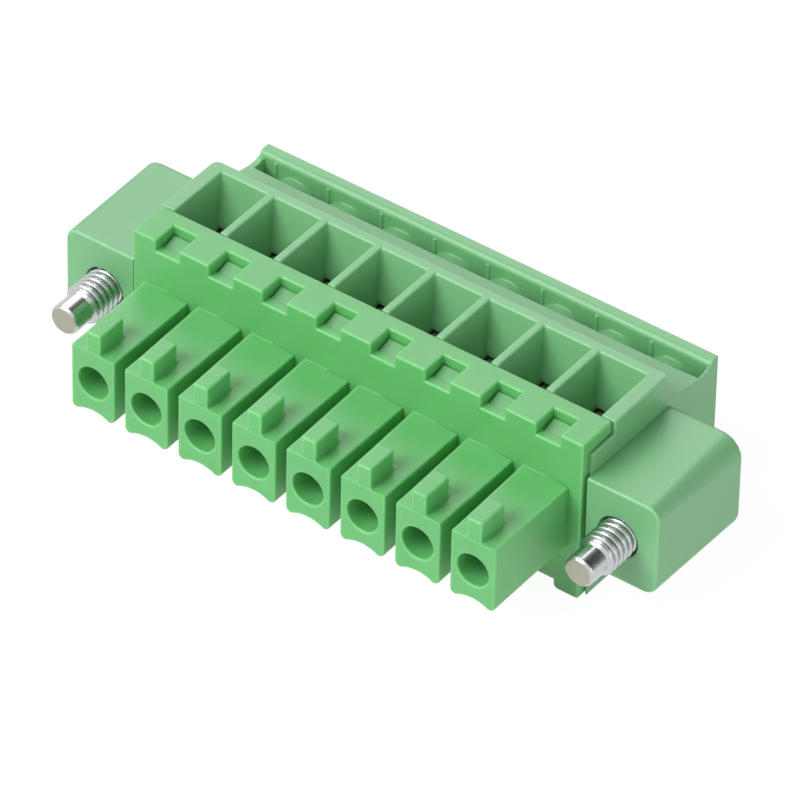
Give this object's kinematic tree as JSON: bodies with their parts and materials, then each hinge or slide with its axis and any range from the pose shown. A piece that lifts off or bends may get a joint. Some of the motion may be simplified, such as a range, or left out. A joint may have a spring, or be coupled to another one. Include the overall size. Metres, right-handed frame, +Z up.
{
  "type": "pluggable terminal block",
  "caption": "Pluggable screw terminal block: slotted contact comb, square wire funnels, cage clamps driven from the rear, and flanges with captive screws.",
  "frame": {"origin": "middle of the outer box, on the plane that the block stands on", "axes": "+X along the row of poles to the right seen from the contact side, +Y from the contact fingers towards the driver holes, +Z up out of the wire funnels"},
  "size_m": [0.042, 0.02, 0.0113],
  "materials": {
    "housing_green": "pale green polyamide, satin",
    "comb_green": "green polyamide, satin",
    "zinc_steel": "bright zinc plate",
    "plated_steel": "dull nickel plate",
    "contact_alloy": "tin-plated copper alloy"
  },
  "bodies": {
    "block": {"rear_housing": "housing_green", "contact_comb": "comb_green", "left_flange": "housing_green", "right_flange": "housing_green", "contact_1": "contact_alloy", "contact_2": "contact_alloy", "contact_3": "contact_alloy", "contact_4": "contact_alloy", "contact_5": "contact_alloy", "contact_6": "contact_alloy", "contact_7": "contact_alloy", "contact_8": "contact_alloy"},
    "left_screw": {"left_flange_screw": "zinc_steel"},
    "right_screw": {"right_flange_screw": "zinc_steel"},
    "screw_1": {"clamp_screw_1": "zinc_steel"},
    "cage_1": {"clamp_cage_1": "plated_steel"},
    "screw_2": {"clamp_screw_2": "zinc_steel"},
    "cage_2": {"clamp_cage_2": "plated_steel"},
    "screw_3": {"clamp_screw_3": "zinc_steel"},
    "cage_3": {"clamp_cage_3": "plated_steel"},
    "screw_4": {"clamp_screw_4": "zinc_steel"},
    "cage_4": {"clamp_cage_4": "plated_steel"},
    "screw_5": {"clamp_screw_5": "zinc_steel"},
    "cage_5": {"clamp_cage_5": "plated_steel"},
    "screw_6": {"clamp_screw_6": "zinc_steel"},
    "cage_6": {"clamp_cage_6": "plated_steel"},
    "screw_7": {"clamp_screw_7": "zinc_steel"},
    "cage_7": {"clamp_cage_7": "plated_steel"},
    "screw_8": {"clamp_screw_8": "zinc_steel"},
    "cage_8": {"clamp_cage_8": "plated_steel"}
  },
  "joints": [
    {"name": "left_flange_screw_turn", "type": "hinge", "parent": "block", "child": "left_screw", "pos_m": [-0.0181, 0, 0.00566], "axis": [0, -1, 0], "continuous": true},
    {"name": "right_flange_screw_turn", "type": "hinge", "parent": "block", "child": "right_screw", "pos_m": [0.0181, 0, 0.00566], "axis": [0, -1, 0], "continuous": true},
    {"name": "clamp_screw_turn_1", "type": "hinge", "parent": "block", "child": "screw_1", "pos_m": [-0.01333, 0.008, 0.0065], "axis": [0, -1, 0], "range_deg": [0, 1800]},
    {"name": "clamp_cage_slide_1", "type": "slide", "parent": "block", "child": "cage_1", "axis": [0, 1, 0], "range_m": [0, 0.002]},
    {"name": "clamp_screw_turn_2", "type": "hinge", "parent": "block", "child": "screw_2", "pos_m": [-0.00953, 0.008, 0.0065], "axis": [0, -1, 0], "range_deg": [0, 1800]},
    {"name": "clamp_cage_slide_2", "type": "slide", "parent": "block", "child": "cage_2", "axis": [0, 1, 0], "range_m": [0, 0.002]},
    {"name": "clamp_screw_turn_3", "type": "hinge", "parent": "block", "child": "screw_3", "pos_m": [-0.00571, 0.008, 0.0065], "axis": [0, -1, 0], "range_deg": [0, 1800]},
    {"name": "clamp_cage_slide_3", "type": "slide", "parent": "block", "child": "cage_3", "axis": [0, 1, 0], "range_m": [0, 0.002]},
    {"name": "clamp_screw_turn_4", "type": "hinge", "parent": "block", "child": "screw_4", "pos_m": [-0.00191, 0.008, 0.0065], "axis": [0, -1, 0], "range_deg": [0, 1800]},
    {"name": "clamp_cage_slide_4", "type": "slide", "parent": "block", "child": "cage_4", "axis": [0, 1, 0], "range_m": [0, 0.002]},
    {"name": "clamp_screw_turn_5", "type": "hinge", "parent": "block", "child": "screw_5", "pos_m": [0.00191, 0.008, 0.0065], "axis": [0, -1, 0], "range_deg": [0, 1800]},
    {"name": "clamp_cage_slide_5", "type": "slide", "parent": "block", "child": "cage_5", "axis": [0, 1, 0], "range_m": [0, 0.002]},
    {"name": "clamp_screw_turn_6", "type": "hinge", "parent": "block", "child": "screw_6", "pos_m": [0.00571, 0.008, 0.0065], "axis": [0, -1, 0], "range_deg": [0, 1800]},
    {"name": "clamp_cage_slide_6", "type": "slide", "parent": "block", "child": "cage_6", "axis": [0, 1, 0], "range_m": [0, 0.002]},
    {"name": "clamp_screw_turn_7", "type": "hinge", "parent": "block", "child": "screw_7", "pos_m": [0.00953, 0.008, 0.0065], "axis": [0, -1, 0], "range_deg": [0, 1800]},
    {"name": "clamp_cage_slide_7", "type": "slide", "parent": "block", "child": "cage_7", "axis": [0, 1, 0], "range_m": [0, 0.002]},
    {"name": "clamp_screw_turn_8", "type": "hinge", "parent": "block", "child": "screw_8", "pos_m": [0.01333, 0.008, 0.0065], "axis": [0, -1, 0], "range_deg": [0, 1800]},
    {"name": "clamp_cage_slide_8", "type": "slide", "parent": "block", "child": "cage_8", "axis": [0, 1, 0], "range_m": [0, 0.002]}
  ],
  "couplings": [
    {"joint": "clamp_screw_turn_1", "follows": "clamp_cage_slide_1", "rad_per_m": 15708},
    {"joint": "clamp_screw_turn_2", "follows": "clamp_cage_slide_2", "rad_per_m": 15708},
    {"joint": "clamp_screw_turn_3", "follows": "clamp_cage_slide_3", "rad_per_m": 15708},
    {"joint": "clamp_screw_turn_4", "follows": "clamp_cage_slide_4", "rad_per_m": 15708},
    {"joint": "clamp_screw_turn_5", "follows": "clamp_cage_slide_5", "rad_per_m": 15708},
    {"joint": "clamp_screw_turn_6", "follows": "clamp_cage_slide_6", "rad_per_m": 15708},
    {"joint": "clamp_screw_turn_7", "follows": "clamp_cage_slide_7", "rad_per_m": 15708},
    {"joint": "clamp_screw_turn_8", "follows": "clamp_cage_slide_8", "rad_per_m": 15708}
  ]
}
